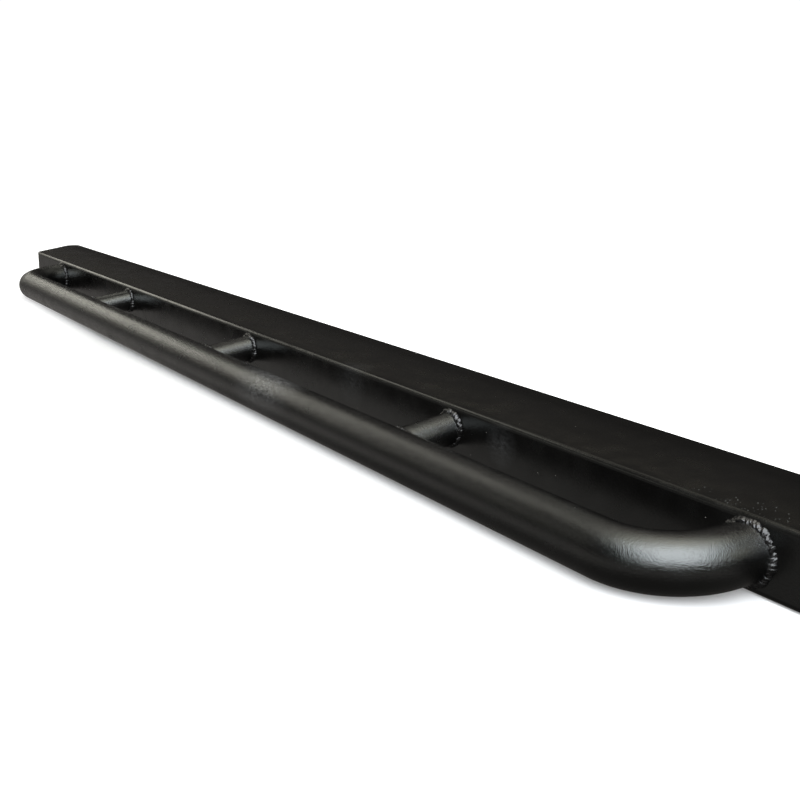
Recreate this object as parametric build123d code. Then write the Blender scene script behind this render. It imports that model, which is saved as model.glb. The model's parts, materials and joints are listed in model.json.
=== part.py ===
from build123d import *
import math
import os

# Running board: a box-section step beam with a bent round rail welded along its outer face,
# carried on bolt-on brackets behind the beam.
# Frame: X along the board, +Y towards the vehicle, +Z up, millimetres.
# The origin is the centre of the middle bracket's two slots, on the underside of its foot.

# Step beam, a rectangular hollow section whose ends are cut at a mitre and capped in plate
# as thick as its wall.
beam_front_length = 1945.0
beam_depth = 120.0
beam_height = 60.0
beam_wall = 4.0
beam_corner = 5.0
mitre_angle = 45.0
end_rounding = 18.0

# Outer rail, one tube whose two ends bend back to the beam.
rail_diameter = 48.3
rail_wall = 3.2
rail_standoff = 77.0
rail_bend_radius = 70.0
rail_leg_angle = 80.0
rail_foot_margin = 160.5

# Struts between the rail and the beam.
strut_diameter = 33.7
strut_wall = 3.2
strut_spacing = 450.0
strut_count = 3
strut_axis_drop = 25.0

# Weld beads.
beam_weld_leg = 5.0
rail_weld_leg = 4.0

# Bolt-on brackets, bent from plate, each with two ribs.
bracket_spacing = 600.0
bracket_count = 3
bracket_width = 120.0
bracket_plate = 6.0
bracket_bend = 6.0
bracket_top_gap = 10.0
bracket_corner = 12.0
foot_reach = 85.0
foot_slot_setback = 55.0
foot_slot_width = 11.0
foot_slot_length = 25.0
rib_thickness = 5.0
rib_margin = 6.0
rib_inset = 2.0
rib_bend_clearance = 2.0

# M10 fasteners that hold each bracket to the beam.
bolt_axis_drop = 18.0
bolt_diameter = 10.0
bolt_length = 25.0
bolt_head_flats = 16.0
bolt_head_height = 6.4
bolt_hole_clearance = 0.5
washer_clearance = 0.25
thread_clearance = 0.05
washer_diameter = 20.0
washer_thickness = 2.0
spring_washer_diameter = 17.6
spring_washer_thickness = 2.2
nut_flats = 17.0
nut_height = 8.0

# Places that follow from the sizes above.
back_y = -foot_slot_setback
front_y = back_y - beam_depth
rail_radius = rail_diameter / 2
strut_radius = strut_diameter / 2
bolt_radius = bolt_diameter / 2
rail_y = front_y - rail_standoff
rail_z = rail_radius
rail_foot_z = beam_height / 2
rail_foot_half_spacing = beam_front_length / 2 - rail_foot_margin
strut_face_z = beam_height - strut_axis_drop
bracket_height = beam_height - bracket_top_gap
bolt_height = bracket_height - bolt_axis_drop
bolt_spacing = bracket_width / 2
foot_slot_spacing = bracket_width / 2
end_rake = beam_depth * math.tan(math.radians(mitre_angle))
cap_reach = beam_wall / math.cos(math.radians(mitre_angle))
overall_reach = beam_front_length / 2 + end_rake + cap_reach
sides = {"left": -1, "right": 1}

os.makedirs("parts", exist_ok=True)


def row(count, spacing):
    """Evenly spaced places along X, centred on the origin."""
    return [(i - (count - 1) / 2) * spacing for i in range(count)]


def group(shapes):
    """Separate solids that share one node."""
    return Compound(children=[solid for shape in shapes for solid in shape.solids()])


def save(shape, name):
    """Write one node as its bare solid, or as a group of solids."""
    solids = shape.solids()
    export_step(solids[0] if len(solids) == 1 else group(solids), f"parts/{name}.step")


def rod(start, end, radius):
    """A solid round bar between two points."""
    along = Vector(*end) - Vector(*start)
    return Plane(origin=start, z_dir=along) * Solid.make_cylinder(radius, along.length)


def across(x, y, z, reach, radius):
    """A solid round bar along Y, from a point towards the vehicle."""
    return rod((x, y, z), (x, y + reach, z), radius)


# ---- step beam and its end caps ----
def section_bar(inset):
    """The beam's section, inset on all sides, run past both ends."""
    corner = max(beam_corner - inset, 1.0)
    section = RectangleRounded(beam_depth - 2 * inset, beam_height - 2 * inset, corner)
    start = (-overall_reach - 10, (front_y + back_y) / 2, beam_height / 2)
    plane = Plane(origin=start, x_dir=(0, 1, 0), z_dir=(1, 0, 0))
    return extrude(plane * section, 2 * overall_reach + 20)


def plan_outline(reach):
    """The board from above, with its mitred ends a distance beyond the beam's."""
    front_x = beam_front_length / 2 + reach
    back_x = front_x + end_rake
    corners = [(-front_x, front_y), (front_x, front_y), (back_x, back_y), (-back_x, back_y)]
    return Polygon(*corners, align=None)


def plan_block(outline):
    """An outline from above made a block taller than the beam."""
    return Pos(0, 0, -10) * extrude(outline, beam_height + 20)


def bolt_places(offset):
    """Every bracket bolt's place, at a distance behind the beam's back face."""
    steps = row(2, bolt_spacing)
    centres = row(bracket_count, bracket_spacing)
    return [(centre + step, back_y + offset, bolt_height) for centre in centres for step in steps]


capped_outline = plan_outline(cap_reach)
capped_outline = fillet(capped_outline.vertices(), end_rounding)
outer_block = section_bar(0) & plan_block(capped_outline)
mitred_block = plan_block(plan_outline(0))
beam_block = outer_block & mitred_block

hollow = section_bar(beam_wall) & plan_block(offset(capped_outline, -beam_wall))
step_beam = beam_block - hollow
for place in bolt_places(-2 * beam_wall):
    step_beam -= across(*place, 3 * beam_wall, bolt_radius + bolt_hole_clearance)
save(step_beam, "step_beam")

for name, side in sides.items():
    half = Pos(side * overall_reach, 0, 0) * Box(2 * overall_reach, 4 * overall_reach, 200)
    save((outer_block - mitred_block) & half, f"end_cap_{name}")


# ---- outer rail ----
leg_angle = math.radians(rail_leg_angle)
rail_foot_lift = rail_foot_z - rail_z
slope_reach = math.hypot(rail_standoff, rail_foot_lift)
lift_angle = math.degrees(math.atan2(rail_foot_lift, rail_standoff))
corner_x = rail_foot_half_spacing - slope_reach / math.tan(leg_angle)
run_half = corner_x - rail_bend_radius * math.tan(leg_angle / 2)


def rail_bar(radius):
    """A round bar along the whole rail, its legs run on into the beam."""
    bend = JernArc((run_half, 0), (1, 0), rail_bend_radius, rail_leg_angle)
    leg_length = (slope_reach - (bend @ 1).Y) / math.sin(leg_angle) + rail_diameter
    leg = PolarLine(bend @ 1, leg_length, rail_leg_angle)
    run = Line((0, 0), (run_half, 0))
    path = Wire([run, bend, leg])
    half = sweep(Plane(origin=(0, 0, 0), z_dir=(1, 0, 0)) * Circle(radius), path=path)
    whole = half + mirror(half, about=Plane.YZ)
    return Pos(0, rail_y, rail_z) * Rot(lift_angle, 0, 0) * whole


rail_outside = rail_bar(rail_radius)
outer_rail = rail_outside - rail_bar(rail_radius - rail_wall) - beam_block
save(outer_rail, "outer_rail")


# ---- weld beads ----
def face_bead(foot, direction, radius, leg):
    """A bead round a tube that meets the beam's front face, following its rounded edges."""
    direction = direction.normalized()
    slant = abs(direction.Y)
    along = Vector(direction.X, 0, direction.Z)
    level = along.normalized() if along.length > 1e-6 else Vector(1, 0, 0)
    toe = Plane(origin=foot, x_dir=level, z_dir=(0, -1, 0))
    crest = Plane(origin=foot + direction * (leg / slant), x_dir=level, z_dir=(0, -1, 0))
    base = toe * Ellipse(radius / slant + leg, radius + leg)
    ring = loft([base, crest * Ellipse(radius / slant + 0.2, radius + 0.2)])
    ring += extrude(base, -leg)
    tube = rod(foot - direction * 4 * leg, foot + direction * 6 * leg, radius)
    room = Pos(0, front_y, beam_height / 2) * Box(2 * overall_reach, beam_depth, beam_height)
    return (ring & room) - tube - beam_block


for name, side in sides.items():
    foot = Vector(side * rail_foot_half_spacing, front_y, rail_foot_z)
    level_leg = Vector(-side * math.cos(leg_angle), -math.sin(leg_angle), 0)
    direction = level_leg.rotate(Axis.X, lift_angle)
    save(face_bead(foot, direction, rail_radius, beam_weld_leg), f"rail_weld_{name}")


# ---- struts, each with a bead at the beam and a bead at the rail ----
for number, x in enumerate(row(strut_count, strut_spacing), 1):
    rail_point = Vector(x, rail_y, rail_z)
    face_point = Vector(x, front_y, strut_face_z)
    direction = rail_point - face_point
    beyond = face_point - direction.normalized() * beam_wall * 2
    rail_side = Vector(rail_diameter, 0, 0)
    rail_length = (rail_point - rail_side, rail_point + rail_side)

    strut = rod(rail_point, beyond, strut_radius) - rod(*rail_length, rail_radius)
    strut = strut - beam_block - rod(rail_point, beyond, strut_radius - strut_wall)
    save(strut, f"strut_{number}")

    save(face_bead(face_point, direction, strut_radius, beam_weld_leg), f"strut_beam_weld_{number}")

    collar = rod(rail_point, face_point, strut_radius + rail_weld_leg)
    collar &= rod(*rail_length, rail_radius + rail_weld_leg)
    collar = collar - rod(*rail_length, rail_radius) - rod(rail_point, beyond, strut_radius)
    save(collar, f"strut_rail_weld_{number}")


# ---- brackets ----
def bracket():
    """One bent bracket: an upright against the beam's back face and a slotted foot."""
    top = (back_y, bracket_height)
    inner_y = back_y + bracket_plate
    heel = (back_y, 0)
    toe_y = back_y + foot_reach
    inner = (inner_y, bracket_plate)
    points = [top, heel, (toe_y, 0), (toe_y, bracket_plate), inner, (inner_y, bracket_height)]
    profile = Plane(origin=(-bracket_width / 2, 0, 0), x_dir=(0, 1, 0), z_dir=(1, 0, 0))
    plate = extrude(profile * Polygon(*points, align=None), bracket_width)
    lengthways = plate.edges().filter_by(Axis.X)
    plate = fillet(lengthways.sort_by_distance((0, *heel))[0], bracket_bend + bracket_plate)
    lengthways = plate.edges().filter_by(Axis.X)
    plate = fillet(lengthways.sort_by_distance((0, *inner))[0], bracket_bend)
    toe_edges = plate.edges().filter_by(Axis.Z).group_by(Axis.Y)[-1]
    plate = fillet(toe_edges, bracket_corner)
    shoulders = plate.edges().filter_by(Axis.Y).group_by(Axis.Z)[-1]
    plate = fillet(shoulders, bracket_corner)
    slot = extrude(SlotOverall(foot_slot_length, foot_slot_width), 3 * bracket_plate)
    for step in row(2, foot_slot_spacing):
        plate -= Pos(step, 0, -bracket_plate) * slot
    for step in row(2, bolt_spacing):
        start = (step, back_y - bracket_plate, bolt_height)
        plate -= across(*start, 3 * bracket_plate, bolt_radius + bolt_hole_clearance)
    return plate


def bracket_ribs():
    """The two triangular ribs between a bracket's upright and its foot."""
    inner_y = back_y + bracket_plate
    clear = bracket_bend + rib_bend_clearance
    high = bracket_height - bracket_corner
    far_y = back_y + foot_reach - bracket_corner
    nose = bracket_plate + rib_margin
    points = [
        (inner_y, bracket_plate + clear),
        (inner_y, high),
        (inner_y + rib_margin, high),
        (far_y, nose),
        (far_y, bracket_plate),
        (inner_y + clear, bracket_plate),
    ]
    outside = bracket_width / 2 - rib_inset
    ribs = []
    for start in (-outside, outside - rib_thickness):
        plane = Plane(origin=(start, 0, 0), x_dir=(0, 1, 0), z_dir=(1, 0, 0))
        ribs.append(extrude(plane * Polygon(*points, align=None), rib_thickness))
    return ribs


one_bracket = bracket()
one_rib_pair = bracket_ribs()
for number, x in enumerate(row(bracket_count, bracket_spacing), 1):
    save(Pos(x, 0, 0) * one_bracket, f"bracket_{number}")
    save(group([Pos(x, 0, 0) * rib for rib in one_rib_pair]), f"bracket_ribs_{number}")


# ---- bracket fasteners ----
def hexagon(flats, height):
    return extrude(RegularPolygon(flats / 2, 6, major_radius=False), height)


def towards_vehicle(place):
    """A frame at a bolt's place whose height runs towards the vehicle."""
    return Plane(origin=place, x_dir=(1, 0, 0), z_dir=(0, 1, 0))


def rings(offset, thickness, diameter):
    """One washer round each bracket bolt."""
    hole = bolt_radius + washer_clearance
    ring = extrude(Circle(diameter / 2) - Circle(hole), thickness)
    return [towards_vehicle(place) * ring for place in bolt_places(offset)]


head_offset = bracket_plate + washer_thickness + spring_washer_thickness
head = chamfer(hexagon(bolt_head_flats, bolt_head_height).edges().group_by(Axis.Z)[-1], 0.8)
shank = Pos(0, 0, -bolt_length) * Solid.make_cylinder(bolt_radius, bolt_length)
bolt = head + shank
nut = hexagon(nut_flats, nut_height) - Solid.make_cylinder(bolt_radius + thread_clearance, nut_height)
nut_offset = -beam_wall - nut_height

save(group([towards_vehicle(place) * bolt for place in bolt_places(head_offset)]), "bracket_bolts")
save(group([towards_vehicle(place) * nut for place in bolt_places(nut_offset)]), "weld_nuts")
save(group(rings(bracket_plate, washer_thickness, washer_diameter)), "flat_washers")
spring_offset = bracket_plate + washer_thickness
save(
    group(rings(spring_offset, spring_washer_thickness, spring_washer_diameter)),
    "spring_washers",
)
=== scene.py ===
import json
import math
import random

import bpy
from mathutils import Matrix, Vector


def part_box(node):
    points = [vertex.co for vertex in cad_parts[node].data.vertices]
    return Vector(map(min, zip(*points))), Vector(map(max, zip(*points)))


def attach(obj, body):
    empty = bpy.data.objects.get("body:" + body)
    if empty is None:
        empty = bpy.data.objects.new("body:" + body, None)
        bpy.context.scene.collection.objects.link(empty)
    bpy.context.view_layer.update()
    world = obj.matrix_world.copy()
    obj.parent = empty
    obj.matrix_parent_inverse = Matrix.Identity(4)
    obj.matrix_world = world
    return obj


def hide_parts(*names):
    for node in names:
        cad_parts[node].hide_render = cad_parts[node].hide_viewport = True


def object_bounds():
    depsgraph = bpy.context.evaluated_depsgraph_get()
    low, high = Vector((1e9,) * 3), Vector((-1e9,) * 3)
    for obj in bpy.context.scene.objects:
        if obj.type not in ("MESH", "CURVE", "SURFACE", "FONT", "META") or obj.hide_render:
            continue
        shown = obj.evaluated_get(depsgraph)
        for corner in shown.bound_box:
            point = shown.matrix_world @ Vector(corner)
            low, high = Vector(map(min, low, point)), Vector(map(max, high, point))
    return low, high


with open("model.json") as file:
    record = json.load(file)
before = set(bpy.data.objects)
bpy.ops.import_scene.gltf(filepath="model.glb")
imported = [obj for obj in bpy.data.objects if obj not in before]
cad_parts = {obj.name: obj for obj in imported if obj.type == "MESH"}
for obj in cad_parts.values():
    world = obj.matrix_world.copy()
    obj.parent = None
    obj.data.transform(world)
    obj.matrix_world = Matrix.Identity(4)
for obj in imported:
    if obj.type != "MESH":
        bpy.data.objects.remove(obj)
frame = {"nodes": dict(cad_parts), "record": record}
cad_low, cad_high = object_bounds()

# Sizes in metres, in the board's own frame: X along the board, +Y towards the vehicle, +Z up.
RAIL_RADIUS = 0.02415
RAIL_BEND = 0.070
RAIL_LEG_ANGLE = math.radians(80)
RAIL_FOOT_MARGIN = 0.1605
BOARD_FRONT = 1.945
STRUT_RADIUS = 0.01685
STRUT_AXIS_DROP = 0.025
STRUT_SPACING = 0.450
BEAM_CORNER = 0.005
RIPPLE_PITCH = 0.0025
RAIL_BEAD_SIZE = 0.0037
STRUT_BEAD_SIZE = 0.0036
SADDLE_BEAD_SIZE = 0.0028
BEAD_VOXEL = 0.0004
TAIL_RIPPLES = 8
TAIL_PITCH = 0.0017
SPATTER_DROPS = 44
SPATTER_REACH = 0.032
SPATTER_OFFSET = 0.015
FLOOR_SIZE = 9
FLOOR_CENTRE = -0.5
FLOOR_GAP = 0.0005

beam_low, beam_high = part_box("step_beam")
rail_low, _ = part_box("outer_rail")
front_y = beam_low.y
beam_top = beam_high.z
rail_y = rail_low.y + RAIL_RADIUS
rail_z = rail_low.z + RAIL_RADIUS
standoff = front_y - rail_y
foot_half = BOARD_FRONT / 2 - RAIL_FOOT_MARGIN
foot_lift = beam_top / 2 - rail_z
lift_angle = math.atan2(foot_lift, standoff)
slope_reach = math.hypot(standoff, foot_lift)
rail_corner_x = foot_half - slope_reach / math.tan(RAIL_LEG_ANGLE)
run_half = rail_corner_x - RAIL_BEND * math.tan(RAIL_LEG_ANGLE / 2)


# ---------- helpers ----------
def clear_selection():
    if bpy.context.object and bpy.context.object.mode != "OBJECT":
        bpy.ops.object.mode_set(mode="OBJECT")
    bpy.ops.object.select_all(action="DESELECT")


def apply_all(piece, name):
    """Name a piece and move its place and turn into its mesh."""
    clear_selection()
    piece.select_set(True)
    bpy.context.view_layer.objects.active = piece
    bpy.ops.object.transform_apply(location=True, rotation=True, scale=True)
    piece.name = name
    piece.data.name = name
    return piece


def edit(piece):
    clear_selection()
    piece.select_set(True)
    bpy.context.view_layer.objects.active = piece
    bpy.ops.object.mode_set(mode="EDIT")
    bpy.ops.mesh.select_all(action="SELECT")


def close_mesh(piece):
    """Merge doubles and turn every face outwards."""
    edit(piece)
    bpy.ops.mesh.remove_doubles(threshold=1e-6)
    bpy.ops.mesh.normals_make_consistent(inside=False)
    bpy.ops.object.mode_set(mode="OBJECT")


def apply_modifier(piece, kind, **settings):
    clear_selection()
    piece.select_set(True)
    bpy.context.view_layer.objects.active = piece
    modifier = piece.modifiers.new(kind.lower(), kind)
    for key, value in settings.items():
        setattr(modifier, key, value)
    bpy.ops.object.modifier_apply(modifier=modifier.name)


def extrude_by(step):
    bpy.ops.mesh.extrude_region_move(TRANSFORM_OT_translate={"value": tuple(step)})


# ---------- outer rail ----------
def leg_direction(side):
    """The rail leg's direction, from the bend back to the beam."""
    level = Vector((side * math.cos(RAIL_LEG_ANGLE), math.sin(RAIL_LEG_ANGLE), 0))
    return Matrix.Rotation(lift_angle, 3, "X") @ level


def model_rail():
    """The rail's right half, a tube run, bend and leg, then its mirror image."""
    bpy.ops.mesh.primitive_circle_add(
        vertices=96, radius=RAIL_RADIUS, location=(0, rail_y, rail_z), rotation=(0, math.pi / 2, 0)
    )
    rail = apply_all(bpy.context.object, "rail_tube")
    edit(rail)
    for _ in range(20):
        extrude_by((run_half / 20, 0, 0))
    lift = Matrix.Rotation(lift_angle, 3, "X")
    centre = Vector((run_half, rail_y, rail_z)) + lift @ Vector((0, RAIL_BEND, 0))
    axis = lift @ Vector((0, 0, 1))
    bpy.ops.mesh.spin(steps=36, angle=-RAIL_LEG_ANGLE, center=centre, axis=axis)
    bend_end_y = RAIL_BEND * (1 - math.cos(RAIL_LEG_ANGLE))
    leg_length = (slope_reach - bend_end_y) / math.sin(RAIL_LEG_ANGLE) + 0.008
    for _ in range(4):
        extrude_by(leg_direction(1) * leg_length / 4)
    bpy.ops.mesh.edge_face_add()
    bpy.ops.object.mode_set(mode="OBJECT")
    apply_modifier(rail, "MIRROR", use_mirror_merge=True, merge_threshold=1e-5)
    close_mesh(rail)
    clear_selection()
    rail.select_set(True)
    bpy.context.view_layer.objects.active = rail
    bpy.ops.object.shade_smooth_by_angle(angle=math.radians(40))
    return rail


# ---------- weld beads ----------
def beam_face(point, direction):
    """Where a line along the tube meets the beam's front, flat or rounded, and the way out of it."""
    for _ in range(12):
        over = max(point.z - (beam_top - BEAM_CORNER), beam_low.z + BEAM_CORNER - point.z, 0)
        over = min(over, BEAM_CORNER * 0.98)
        drop = BEAM_CORNER - math.sqrt(BEAM_CORNER**2 - over**2)
        point = point + direction * ((front_y + drop - point.y) / direction.y)
    upward = 1 if point.z > beam_top / 2 else -1
    out = Vector((0, -math.sqrt(BEAM_CORNER**2 - over**2), upward * over)).normalized()
    return point, out


def rail_face(point, direction):
    """Where a line along a strut meets the rail, and the way out of the rail there."""
    dy, dz = point.y - rail_y, point.z - rail_z
    a = direction.y**2 + direction.z**2
    b = dy * direction.y + dz * direction.z
    c = dy * dy + dz * dz - RAIL_RADIUS**2
    reach = (-b - math.sqrt(max(b * b - a * c, 0))) / a
    point = point + direction * reach
    out = Vector((0, point.y - rail_y, point.z - rail_z)).normalized()
    return point, out


def bead_line(start, direction, radius, meet, pitch, chance):
    """Uneven places round a tube where it meets another surface: point, way round, way out."""
    direction = direction.normalized()
    side = direction.cross(Vector((0, 0, 1))).normalized()
    up = side.cross(direction).normalized()

    def at(turn):
        spoke = side * math.cos(turn) + up * math.sin(turn)
        point, out = meet(start + spoke * radius, direction)
        return point, (out + spoke).normalized()

    step = pitch / (radius + 0.002)
    places = []
    turn = 0.0
    while turn < 2 * math.pi - step * 0.5:
        point, out = at(turn)
        ahead, _ = at(turn + 0.02)
        places.append((point, (ahead - point).normalized(), out))
        turn += step * chance.uniform(0.6, 1.4)
    return places


def model_ripple(size):
    """One frozen ripple of weld: a flattened lump whose leading lip stands up."""
    bpy.ops.mesh.primitive_uv_sphere_add(segments=20, ring_count=12, radius=size)
    ripple = bpy.context.object
    edit(ripple)
    bpy.ops.transform.resize(value=(0.58, 1.05, 0.72))
    bpy.ops.mesh.select_all(action="DESELECT")
    bpy.ops.object.mode_set(mode="OBJECT")
    for vertex in ripple.data.vertices:
        vertex.select = vertex.co.x > size * 0.1 and vertex.co.z > 0
    bpy.ops.object.mode_set(mode="EDIT")
    bpy.ops.transform.translate(value=(size * 0.12, 0, size * 0.16))
    bpy.ops.object.mode_set(mode="OBJECT")
    return apply_all(ripple, "ripple")


def model_bead(name, places, size, chance, tail=()):
    """A bead laid as overlapping, uneven ripples, with a tapering tail, then fused into one skin."""
    ripple = model_ripple(size)
    copies = []
    swell = 1.0
    for order, (point, forward, out) in enumerate([*places, *tail]):
        across = out.cross(forward).normalized()
        turn = Matrix((forward, across, out)).transposed().to_4x4()
        wobble = Matrix.Rotation(0.45 + chance.uniform(-0.35, 0.35), 4, "Z")
        swell = 0.75 * swell + 0.25 * chance.uniform(0.5, 1.5)
        taper = 1 - 0.1 * max(order - len(places) + 1, 0)
        length = swell * chance.uniform(0.8, 1.3)
        width = swell * chance.uniform(0.8, 1.15) * taper
        grow = Matrix.Diagonal((length, width, swell * taper, 1))
        shift = out * (size * chance.uniform(-0.1, 0.25))
        shift += across * (size * chance.uniform(-0.25, 0.25))
        copy = ripple.copy()
        copy.data = ripple.data.copy()
        copy.matrix_world = Matrix.Translation(point + shift) @ turn @ wobble @ grow
        bpy.context.collection.objects.link(copy)
        copies.append(copy)
    bpy.data.objects.remove(ripple)
    clear_selection()
    for copy in copies:
        copy.select_set(True)
    bpy.context.view_layer.objects.active = copies[0]
    bpy.ops.object.join()
    bead = apply_all(bpy.context.object, name)
    apply_modifier(bead, "REMESH", mode="VOXEL", voxel_size=BEAD_VOXEL, use_smooth_shade=True)
    apply_modifier(bead, "SMOOTH", factor=0.5, iterations=1)
    close_mesh(bead)
    clear_selection()
    bead.select_set(True)
    bpy.context.view_layer.objects.active = bead
    bpy.ops.object.shade_smooth()
    return bead


def model_spatter(name, seam_x, chance):
    """Small weld droplets frozen on the tread, along its outer edge near a rail leg."""
    middle = seam_x - math.copysign(SPATTER_OFFSET, seam_x)
    drops = []
    for _ in range(SPATTER_DROPS):
        x = middle + chance.gauss(0, SPATTER_REACH)
        y = front_y + BEAM_CORNER + abs(chance.gauss(0, SPATTER_REACH * 0.35))
        size = chance.uniform(0.00025, 0.0006)
        bpy.ops.mesh.primitive_ico_sphere_add(
            subdivisions=2, radius=size, location=(x, y, beam_top + size * 0.2)
        )
        drop = bpy.context.object
        edit(drop)
        flatten = (chance.uniform(0.8, 1.5), 1.0, chance.uniform(0.5, 0.9))
        bpy.ops.transform.resize(value=flatten)
        bpy.ops.object.mode_set(mode="OBJECT")
        drops.append(drop)
    clear_selection()
    for drop in drops:
        drop.select_set(True)
    bpy.context.view_layer.objects.active = drops[0]
    bpy.ops.object.join()
    return apply_all(bpy.context.object, name)


def strut_line(x):
    """A strut's place on the beam's face, and its direction out to the rail."""
    face = Vector((x, front_y, beam_top - STRUT_AXIS_DROP))
    rail_point = Vector((x, rail_y, rail_z))
    return face, (rail_point - face).normalized()


def model_welds():
    """Every bead with the CAD weld it stands for, and the spatter, which stands for none."""
    welds = []
    for name, side in (("left", -1), ("right", 1)):
        chance = random.Random(31 + side)
        foot = Vector((side * foot_half, front_y, rail_z + foot_lift))
        direction = leg_direction(side)
        places = bead_line(foot, direction, RAIL_RADIUS, beam_face, RIPPLE_PITCH, chance)
        crown = foot + Vector((-side * 0.004, 0, RAIL_RADIUS))
        along = Vector((-side * 0.75, -0.5, -0.4)).normalized()
        upward = Vector((0, -0.6, 0.8))
        tail = [(crown + along * TAIL_PITCH * i, along, upward) for i in range(TAIL_RIPPLES)]
        bead = model_bead(f"rail_bead_{name}", places, RAIL_BEAD_SIZE, chance, tail)
        spatter = model_spatter(f"rail_spatter_{name}", foot.x, chance)
        welds.append((spatter, None))
        welds.append((bead, f"rail_weld_{name}"))
    for number in (1, 2, 3):
        chance = random.Random(40 + number)
        face, direction = strut_line((number - 2) * STRUT_SPACING)
        places = bead_line(face, -direction, STRUT_RADIUS, beam_face, RIPPLE_PITCH, chance)
        bead = model_bead(f"strut_bead_{number}", places, STRUT_BEAD_SIZE, chance)
        welds.append((bead, f"strut_beam_weld_{number}"))
        middle = face + direction * standoff / 2
        places = bead_line(middle, direction, STRUT_RADIUS, rail_face, RIPPLE_PITCH, chance)
        bead = model_bead(f"saddle_bead_{number}", places, SADDLE_BEAD_SIZE, chance)
        welds.append((bead, f"strut_rail_weld_{number}"))
    return welds


# ---------- materials ----------
DUST_SPACING = 0.011
DUST_SIZE = 0.00045
DUST_COLOUR = (0.20, 0.19, 0.17)
# Tints of the shine: warm on the tread, cool elsewhere.
WARM = (1.0, 0.93, 0.72)
COOL = (0.96, 1.0, 0.98)
# Painted highlight patches, pale streaky spots on the beam's front face and the rail's top: centre, reach
# and how pale.
BEAM_PAINTED_HIGHLIGHTS = [((0.26, -0.175, 0.045), 0.035, 0.03), ((0.53, -0.175, 0.038), 0.025, 0.04)]
RAIL_PAINTED_HIGHLIGHTS = [((0.22, -0.250, 0.050), 0.075, 0.12)]


def new_material(name):
    material = bpy.data.materials.new(name)
    material.use_nodes = True
    nodes = material.node_tree.nodes
    nodes.clear()
    output = nodes.new("ShaderNodeOutputMaterial")
    shader = nodes.new("ShaderNodeBsdfPrincipled")
    material.node_tree.links.new(shader.outputs["BSDF"], output.inputs["Surface"])
    return material, shader


def link(material, source, target):
    material.node_tree.links.new(source, target)


def add_noise(material, scale, detail=3.0, roughness=0.55, stretch=(1, 1, 1)):
    nodes = material.node_tree.nodes
    place = nodes.new("ShaderNodeTexCoord")
    mapping = nodes.new("ShaderNodeMapping")
    mapping.inputs["Scale"].default_value = stretch
    noise = nodes.new("ShaderNodeTexNoise")
    noise.inputs["Scale"].default_value = scale
    noise.inputs["Detail"].default_value = detail
    noise.inputs["Roughness"].default_value = roughness
    link(material, place.outputs["Object"], mapping.inputs["Vector"])
    link(material, mapping.outputs["Vector"], noise.inputs["Vector"])
    return noise.outputs["Fac"]


def add_ramp(material, source, stops):
    ramp = material.node_tree.nodes.new("ShaderNodeValToRGB")
    ramp.color_ramp.elements[0].position = stops[0][0]
    ramp.color_ramp.elements[0].color = (*stops[0][1], 1)
    ramp.color_ramp.elements[1].position = stops[-1][0]
    ramp.color_ramp.elements[1].color = (*stops[-1][1], 1)
    for position, colour in stops[1:-1]:
        ramp.color_ramp.elements.new(position).color = (*colour, 1)
    link(material, source, ramp.inputs["Fac"])
    return ramp.outputs["Color"]


def add_range(material, source, low, high):
    node = material.node_tree.nodes.new("ShaderNodeMapRange")
    node.inputs["From Min"].default_value = 0.3
    node.inputs["From Max"].default_value = 0.7
    node.inputs["To Min"].default_value = low
    node.inputs["To Max"].default_value = high
    link(material, source, node.inputs["Value"])
    return node.outputs["Result"]


def add_bump(material, source, strength, distance, below=None):
    node = material.node_tree.nodes.new("ShaderNodeBump")
    node.inputs["Strength"].default_value = strength
    node.inputs["Distance"].default_value = distance
    link(material, source, node.inputs["Height"])
    if below:
        link(material, below, node.inputs["Normal"])
    return node.outputs["Normal"]


def grey(value, warmth=0.0):
    return (value * (1 + warmth), value, value * (1 - warmth))


def add_mix(material, amount, first, second):
    """Blend two colours by an amount from another node."""
    node = material.node_tree.nodes.new("ShaderNodeMix")
    node.data_type = "RGBA"
    link(material, amount, node.inputs["Factor"])
    for source, socket in ((first, node.inputs[6]), (second, node.inputs[7])):
        if isinstance(source, tuple):
            socket.default_value = (*source, 1)
        else:
            link(material, source, socket)
    return node.outputs[2]


def add_specks(material, spacing, size, share):
    """Sparse round specks of dust, a share of the cells holding one."""
    nodes = material.node_tree.nodes
    place = nodes.new("ShaderNodeTexCoord")
    cells = nodes.new("ShaderNodeTexVoronoi")
    cells.inputs["Scale"].default_value = 1 / spacing
    link(material, place.outputs["Object"], cells.inputs["Vector"])
    near = nodes.new("ShaderNodeMath")
    near.operation = "LESS_THAN"
    near.inputs[1].default_value = size / spacing
    link(material, cells.outputs["Distance"], near.inputs[0])
    chosen = nodes.new("ShaderNodeMath")
    chosen.operation = "LESS_THAN"
    chosen.inputs[1].default_value = share
    link(material, cells.outputs["Color"], chosen.inputs[0])
    both = nodes.new("ShaderNodeMath")
    both.operation = "MULTIPLY"
    link(material, near.outputs[0], both.inputs[0])
    link(material, chosen.outputs[0], both.inputs[1])
    return both.outputs[0]


def add_painted_highlight(material, colour, centre, reach, tone):
    """A hazy painted highlight patch, paler than the paint and fading out from its centre."""
    nodes = material.node_tree.nodes
    place = nodes.new("ShaderNodeTexCoord")
    away = nodes.new("ShaderNodeVectorMath")
    away.operation = "DISTANCE"
    away.inputs[1].default_value = centre
    link(material, place.outputs["Object"], away.inputs[0])
    fade = nodes.new("ShaderNodeMapRange")
    fade.inputs["From Min"].default_value = reach
    fade.inputs["From Max"].default_value = 0.0
    link(material, away.outputs["Value"], fade.inputs["Value"])
    streaks = add_range(material, add_noise(material, 130, 4, 0.7, (1, 2.5, 2.5)), 0, 1)
    amount = nodes.new("ShaderNodeMath")
    amount.operation = "MULTIPLY"
    link(material, fade.outputs["Result"], amount.inputs[0])
    link(material, streaks, amount.inputs[1])
    return add_mix(material, amount.outputs[0], colour, grey(tone))


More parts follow.
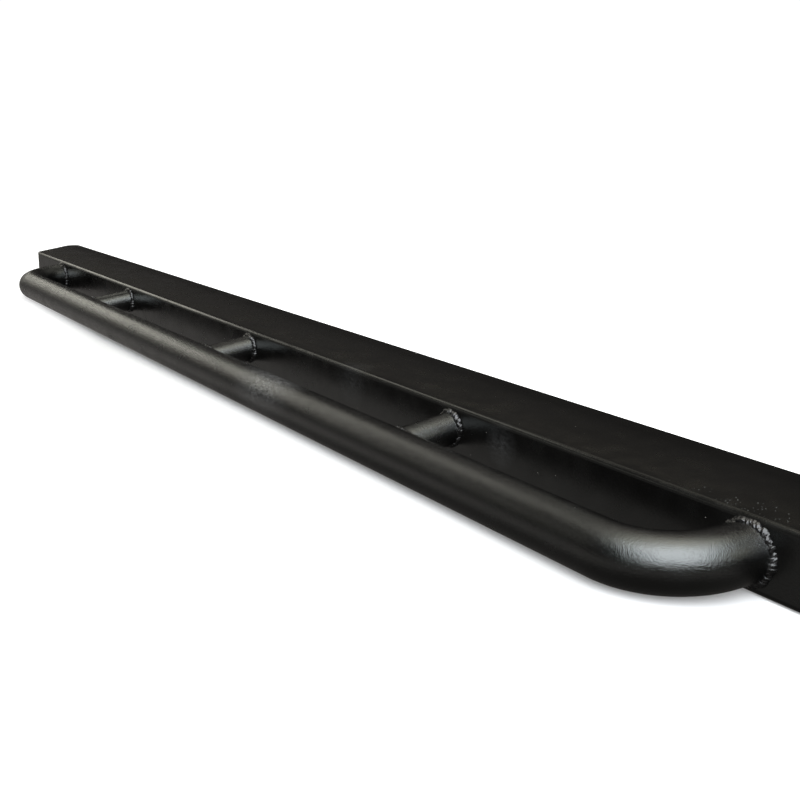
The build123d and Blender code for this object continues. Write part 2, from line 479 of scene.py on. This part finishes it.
def powder_coat(name, tone, warmth, gloss, peel, grain, dust, shine, tint, painted_highlights=()):
    """Black powder coat: cloudy tone, uneven gloss, orange peel, a fine grain and specks of dust."""
    material, shader = new_material(name)
    cloud = add_noise(material, 9, 5, 0.6)
    clouds = [(0.3, grey(tone * 0.75, warmth)), (0.7, grey(tone * 1.3, warmth))]
    colour = add_ramp(material, cloud, clouds)
    specks = add_specks(material, DUST_SPACING, DUST_SIZE, dust)
    colour = add_mix(material, specks, colour, DUST_COLOUR)
    # Mix in the pale painted highlight patches, where given.
    for centre, reach, haze in painted_highlights:
        colour = add_painted_highlight(material, colour, centre, reach, haze)
    link(material, colour, shader.inputs["Base Color"])
    link(material, add_range(material, add_noise(material, 38, 4), *gloss), shader.inputs["Roughness"])
    orange_peel = add_bump(material, add_noise(material, 420, 2), peel, 0.0004)
    fine = add_bump(material, add_noise(material, 900, 2, 0.6), grain, 0.00032, orange_peel)
    link(material, fine, shader.inputs["Normal"])
    shader.inputs["Specular IOR Level"].default_value = shine
    shader.inputs["Specular Tint"].default_value = (*tint, 1)
    return material


def weld_coat():
    """Powder coat over a rough bead, thin and greyer on the crests."""
    material, shader = new_material("weld_coat")
    patch = add_noise(material, 210, 4, 0.65)
    crests = [(0.42, grey(0.002)), (0.56, grey(0.005, 0.03)), (0.70, grey(0.02, 0.02))]
    colour = add_ramp(material, patch, crests)
    link(material, colour, shader.inputs["Base Color"])
    link(material, add_range(material, patch, 0.14, 0.34), shader.inputs["Roughness"])
    bumps = add_bump(material, add_noise(material, 900, 3), 0.35, 0.0005)
    link(material, bumps, shader.inputs["Normal"])
    shader.inputs["Specular IOR Level"].default_value = 0.6
    return material


def zinc_plate(name, tone):
    """Bright zinc with cloudy tone and gloss."""
    material, shader = new_material(name)
    cloud = add_noise(material, 160, 4)
    colour = add_ramp(material, cloud, [(0.3, grey(tone * 0.8, 0.02)), (0.7, grey(tone, 0.01))])
    link(material, colour, shader.inputs["Base Color"])
    link(material, add_range(material, cloud, 0.25, 0.45), shader.inputs["Roughness"])
    link(material, add_bump(material, add_noise(material, 700, 2), 0.15, 0.0002), shader.inputs["Normal"])
    shader.inputs["Metallic"].default_value = 1.0
    return material


def dress(piece, material):
    piece.data.materials.clear()
    piece.data.materials.append(material)


def polish_tread(material):
    """The tread's outer half is shinier, where boots have rubbed it, and its back edge is duller."""
    nodes = material.node_tree.nodes
    place = nodes.new("ShaderNodeTexCoord")
    split = nodes.new("ShaderNodeSeparateXYZ")
    link(material, place.outputs["Object"], split.inputs[0])
    across = nodes.new("ShaderNodeMapRange")
    across.inputs["From Min"].default_value = beam_low.y
    across.inputs["From Max"].default_value = beam_high.y
    link(material, split.outputs["Y"], across.inputs["Value"])
    stops = [(0.0, 0.60), (0.03, 0.40), (0.06, 0.65), (0.12, 1.0), (0.4, 0.55), (0.8, 0.08), (1.0, 0.08)]
    level = add_ramp(material, across.outputs["Result"], [(at, grey(value)) for at, value in stops])
    link(material, level, nodes["Principled BSDF"].inputs["Specular IOR Level"])
    tint = add_ramp(material, across.outputs["Result"], [(0.01, COOL), (0.05, WARM)])
    link(material, tint, nodes["Principled BSDF"].inputs["Specular Tint"])


# ---------- build ----------
beam_coat = powder_coat("beam_coat", 0.0029, 0.06, (0.16, 0.30), 0.15, 0.25, 0.16, 0.45, WARM, BEAM_PAINTED_HIGHLIGHTS)
tube_coat = powder_coat("tube_coat", 0.0012, 0.02, (0.13, 0.28), 0.35, 1.0, 0.05, 1.0, COOL, RAIL_PAINTED_HIGHLIGHTS)
polish_tread(beam_coat)
bracket_coat = powder_coat("bracket_coat", 0.0020, 0.04, (0.35, 0.5), 0.18, 0.25, 0.03, 0.6, COOL)
bead_coat = weld_coat()
bolt_zinc = zinc_plate("bolt_zinc", 0.6)
washer_zinc = zinc_plate("washer_zinc", 0.68)

slot_finish = {
    "black_coat": beam_coat,
    "rail_coat": tube_coat,
    "weld_coat": bead_coat,
    "bracket_coat": bracket_coat,
    "zinc_bolt": bolt_zinc,
    "zinc_washer": washer_zinc,
}
node_slot = {part["node"]: part["material_slot"] for part in frame["record"]["subparts"]}
for node, piece in frame["nodes"].items():
    dress(piece, slot_finish[node_slot[node]])

rail = model_rail()
dress(rail, tube_coat)
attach(rail, "root")
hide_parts("outer_rail")

for bead, node in model_welds():
    dress(bead, bead_coat if node else tube_coat)
    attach(bead, "root")
    if node:
        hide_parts(node)


# ---------- studio ----------
KEY_COLOUR = (0.92, 0.96, 1.0)
ROOM_COLOUR = (1.0, 0.97, 0.86)
# Softboxes: name, place, what it aims at, width and height, brightness, colour.
SOFTBOXES = [
    ("key", (1.9, -1.07, 1.69), (0.79, -0.2, 0), (2.6, 2.6), 6.6, KEY_COLOUR),
    ("front_ceiling", (0.44, -0.95, 2.07), (0.79, -0.2, 0.03), (1.1, 1.1), 2.0, ROOM_COLOUR),
    ("back_ceiling", (1.07, 0.29, 2.16), (0.79, -0.2, 0.03), (1.1, 1.1), 2.5, ROOM_COLOUR),
    ("left_ceiling", (0.3, 0.08, 2.16), (0.79, -0.2, 0.03), (1.1, 1.1), 2.0, ROOM_COLOUR),
    ("left_low", (-2.6, -0.45, 0.95), (-0.2, -0.25, 0), (1.1, 0.7), 2.2, ROOM_COLOUR),
    ("left_front", (-2.7, -0.95, 0.55), (-0.2, -0.25, 0), (0.9, 0.6), 0.5, ROOM_COLOUR),
    ("left_high", (-2.2, -0.2, 2.2), (-0.2, -0.2, 0), (1.4, 1.2), 1.3, ROOM_COLOUR),
    ("back_left", (-1.2, 1.2, 2.2), (-0.2, -0.2, 0), (1.4, 1.2), 0.4, ROOM_COLOUR),
    ("front_left", (-1.8, -2.2, 1.4), (0, -0.2, 0), (1.6, 1.0), 0.4, ROOM_COLOUR),
    ("back", (1.4, 2.4, 1.0), (0.2, 0, 0), (2.0, 1.2), 1.5, ROOM_COLOUR),
    ("right_back", (2.7, 1.2, 1.2), (0.6, -0.2, 0), (1.6, 1.2), 1.2, ROOM_COLOUR),
]
# Brightness of the room by the height looked at, from straight down (0) to straight up (1).
ROOM_SHADES = [
    (0.0, 0.06), (0.25, 0.08), (0.285, 0.12), (0.35, 0.30), (0.4, 0.27), (0.475, 0.2),
    (0.57, 0.035), (1.0, 0.06),
]
ROOM_WARMTH = 0.05
BACKDROP_BRIGHTNESS = 1.05

CAMERA_PLACE = (1.2539, -0.8018, 0.3300)
CAMERA_YAW = math.radians(-54.95)
CAMERA_DOWN = math.radians(14.68)
CAMERA_ROLL = math.radians(-1.35)
CAMERA_LENS = 46.81


def lay_floor():
    """A pale floor that glows white away from the board and only keeps the contact shadow."""
    place = (FLOOR_CENTRE, 0, cad_low.z - FLOOR_GAP)
    bpy.ops.mesh.primitive_plane_add(size=FLOOR_SIZE, location=place)
    floor = apply_all(bpy.context.object, "studio_floor")
    material, shader = new_material("studio_floor")
    shader.inputs["Base Color"].default_value = (0.62, 0.615, 0.61, 1)
    shader.inputs["Roughness"].default_value = 0.9
    shader.inputs["Specular IOR Level"].default_value = 0.0
    shader.inputs["Emission Color"].default_value = (1, 1, 1, 1)
    nodes = material.node_tree.nodes
    spot = nodes.new("ShaderNodeTexCoord")
    spread = nodes.new("ShaderNodeMapping")
    spread.inputs["Location"].default_value = (-0.18, 0.40, 0.0)
    spread.inputs["Scale"].default_value = (0.45, 2.2, 1.0)
    away = nodes.new("ShaderNodeVectorMath")
    away.operation = "LENGTH"
    glow = nodes.new("ShaderNodeMapRange")
    glow.inputs["From Min"].default_value = 0.38
    glow.inputs["From Max"].default_value = 0.7
    glow.inputs["To Min"].default_value = 0.2
    glow.inputs["To Max"].default_value = 1.0
    link(material, spot.outputs["Object"], spread.inputs["Vector"])
    link(material, spread.outputs["Vector"], away.inputs[0])
    link(material, away.outputs["Value"], glow.inputs["Value"])
    link(material, glow.outputs["Result"], shader.inputs["Emission Strength"])
    material.cycles.emission_sampling = "NONE"
    dress(floor, material)
    floor.visible_glossy = False
    floor.visible_diffuse = False
    floor.visible_shadow = False
    return floor


def softbox(name, place, target, size, brightness, colour):
    """A rectangular softbox whose face has a given brightness."""
    data = bpy.data.lights.new(name, "AREA")
    data.shape = "RECTANGLE"
    data.size, data.size_y = size
    data.energy = brightness * math.pi * size[0] * size[1]
    data.color = colour
    lamp = bpy.data.objects.new(name, data)
    lamp.location = place
    aim = Vector(target) - Vector(place)
    lamp.rotation_euler = aim.to_track_quat("-Z", "Y").to_euler()
    bpy.context.collection.objects.link(lamp)


def light_room():
    """A dim room, brighter towards the floor, behind a plain white backdrop."""
    world = bpy.data.worlds.new("studio")
    bpy.context.scene.world = world
    world.use_nodes = True
    nodes = world.node_tree.nodes
    links = world.node_tree.links
    room = nodes["Background"]
    look = nodes.new("ShaderNodeTexCoord")
    split = nodes.new("ShaderNodeSeparateXYZ")
    links.new(look.outputs["Generated"], split.inputs[0])
    height = nodes.new("ShaderNodeMapRange")
    height.inputs["From Min"].default_value = -1.0
    links.new(split.outputs["Z"], height.inputs["Value"])
    shades = nodes.new("ShaderNodeValToRGB")
    first, last = shades.color_ramp.elements[0], shades.color_ramp.elements[1]
    first.position, first_tone = ROOM_SHADES[0]
    last.position, last_tone = ROOM_SHADES[-1]
    first.color = (*grey(first_tone, ROOM_WARMTH), 1)
    last.color = (*grey(last_tone, ROOM_WARMTH), 1)
    for position, tone in ROOM_SHADES[1:-1]:
        shades.color_ramp.elements.new(position).color = (*grey(tone, ROOM_WARMTH), 1)
    links.new(height.outputs["Result"], shades.inputs["Fac"])
    links.new(shades.outputs["Color"], room.inputs["Color"])
    room.inputs["Strength"].default_value = 1.0
    backdrop = nodes.new("ShaderNodeBackground")
    backdrop.inputs["Color"].default_value = (1, 1, 1, 1)
    backdrop.inputs["Strength"].default_value = BACKDROP_BRIGHTNESS
    seen = nodes.new("ShaderNodeLightPath")
    choice = nodes.new("ShaderNodeMixShader")
    links.new(seen.outputs["Is Camera Ray"], choice.inputs["Fac"])
    links.new(room.outputs["Background"], choice.inputs[1])
    links.new(backdrop.outputs["Background"], choice.inputs[2])
    links.new(choice.outputs["Shader"], nodes["World Output"].inputs["Surface"])


def place_camera():
    data = bpy.data.cameras.new("camera")
    data.sensor_width = 36
    data.lens = CAMERA_LENS
    data.clip_start = 0.01
    camera = bpy.data.objects.new("camera", data)
    turn = Matrix.Rotation(-CAMERA_YAW, 4, "Z")
    turn = turn @ Matrix.Rotation(math.pi / 2 - CAMERA_DOWN, 4, "X")
    turn = turn @ Matrix.Rotation(-CAMERA_ROLL, 4, "Z")
    camera.matrix_world = Matrix.Translation(CAMERA_PLACE) @ turn
    bpy.context.collection.objects.link(camera)
    bpy.context.scene.camera = camera


lay_floor()
for box in SOFTBOXES:
    softbox(*box)
light_room()
place_camera()
bpy.context.scene.view_settings.view_transform = "Standard"
